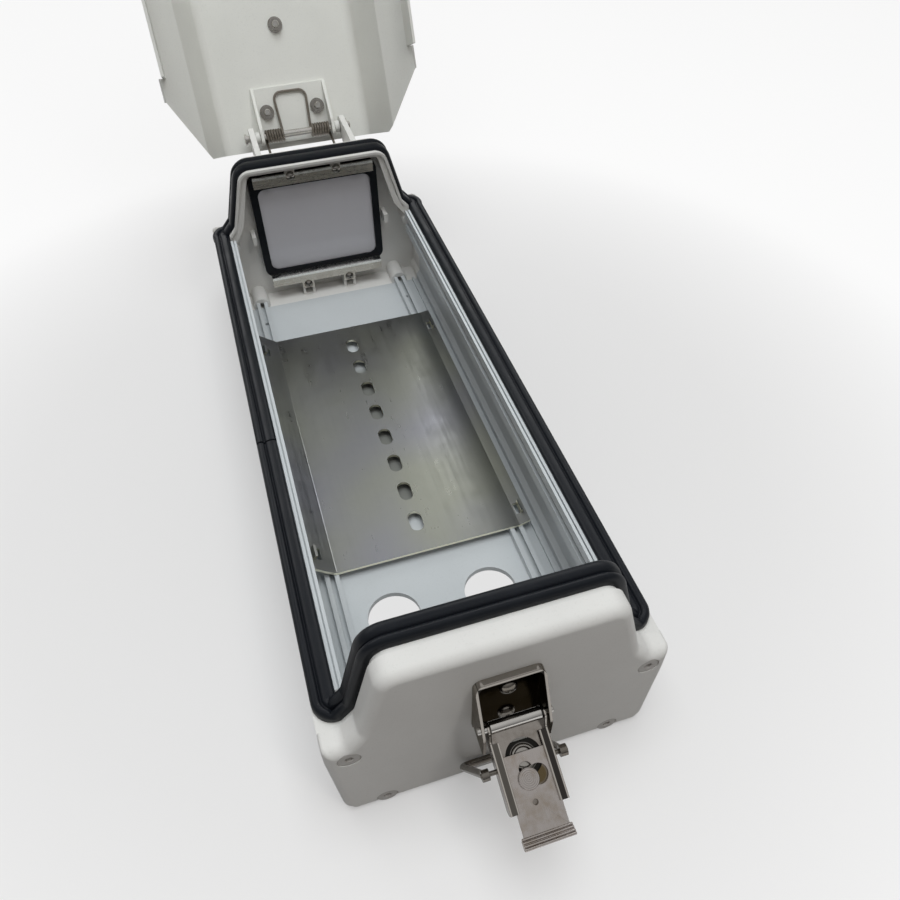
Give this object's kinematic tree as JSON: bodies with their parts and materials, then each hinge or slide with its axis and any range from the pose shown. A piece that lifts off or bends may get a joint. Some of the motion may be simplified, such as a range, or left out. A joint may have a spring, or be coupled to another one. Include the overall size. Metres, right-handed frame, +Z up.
{
  "type": "security camera housing",
  "caption": "Long outdoor camera housing: painted trough with cast ends, hinged folded lid standing open, rim gasket, window, sliding plate and over-centre latch.",
  "frame": {"origin": "centre of the trough's flat underside", "axes": "+X across, +Y along the body towards the window and the lid's hinge, +Z up"},
  "size_m": [0.152, 0.6199, 0.4767],
  "materials": {
    "casting_paint": "satin, fine texture",
    "trough_paint": "satin",
    "lid_paint": "satin, fine texture",
    "seal": "satin",
    "pane": "clear",
    "zinc_plate": "mottled zinc",
    "stainless": "polished",
    "bright_steel": "bright zinc",
    "spring_steel": "dull",
    "bushing": "satin"
  },
  "bodies": {
    "housing": {"trough_extrusion": "trough_paint", "rear_plate": "casting_paint", "front_plate": "casting_paint", "rear_plate_screws": "bright_steel", "front_plate_screws": "bright_steel", "rim_gasket": "seal", "window_glass": "pane", "window_gasket": "seal", "upper_clamp_bar": "bright_steel", "lower_clamp_bar": "bright_steel", "clamp_bar_screws": "bright_steel", "camera_plate": "zinc_plate", "hinge_pin": "bright_steel", "hinge_pin_clip": "spring_steel", "hinge_bushes": "bushing", "latch_base": "stainless", "latch_base_screws": "stainless", "latch_pin": "stainless", "latch_roller": "bright_steel"},
    "lid": {"lid": "lid_paint", "lid_bracket": "lid_paint", "lid_bracket_bolts": "bright_steel", "lid_bracket_nuts": "bright_steel", "earth_stud": "bright_steel", "earth_nut": "bright_steel", "lid_keeper": "stainless", "lid_keeper_rivets": "stainless", "hinge_spring": "spring_steel"},
    "latch_lever": {"latch_lever": "stainless", "latch_rivet": "stainless", "latch_leaf_spring": "stainless", "latch_link_pin": "stainless"},
    "latch_catch": {"latch_catch_plate": "stainless"},
    "latch_bail": {"latch_bail": "stainless"}
  },
  "joints": [
    {"name": "lid_hinge", "type": "hinge", "parent": "housing", "child": "lid", "pos_m": [0, 0.214, 0.093], "axis": [1, 0, 0], "range_deg": [0, 115], "stiffness_Nm_per_rad": 0.1, "springref_deg": -28.65, "deforming": ["hinge_spring"]},
    {"name": "latch_lever", "type": "hinge", "parent": "housing", "child": "latch_lever", "pos_m": [0, -0.1902, 0.0625], "axis": [1, 0, 0], "range_deg": [0, 67]},
    {"name": "catch_slide", "type": "slide", "parent": "latch_lever", "child": "latch_catch", "axis": [0, -0.9205, -0.3907], "range_m": [0, 0.003], "stiffness_N_per_m": 500},
    {"name": "bail_swing", "type": "hinge", "parent": "latch_lever", "child": "latch_bail", "pos_m": [0, -0.20102, 0.05063], "axis": [1, 0, 0], "range_deg": [-268.6, 0]}
  ],
  "couplings": [
    {"joint": "bail_swing", "follows": "latch_lever", "ratio": -4.0026}
  ]
}
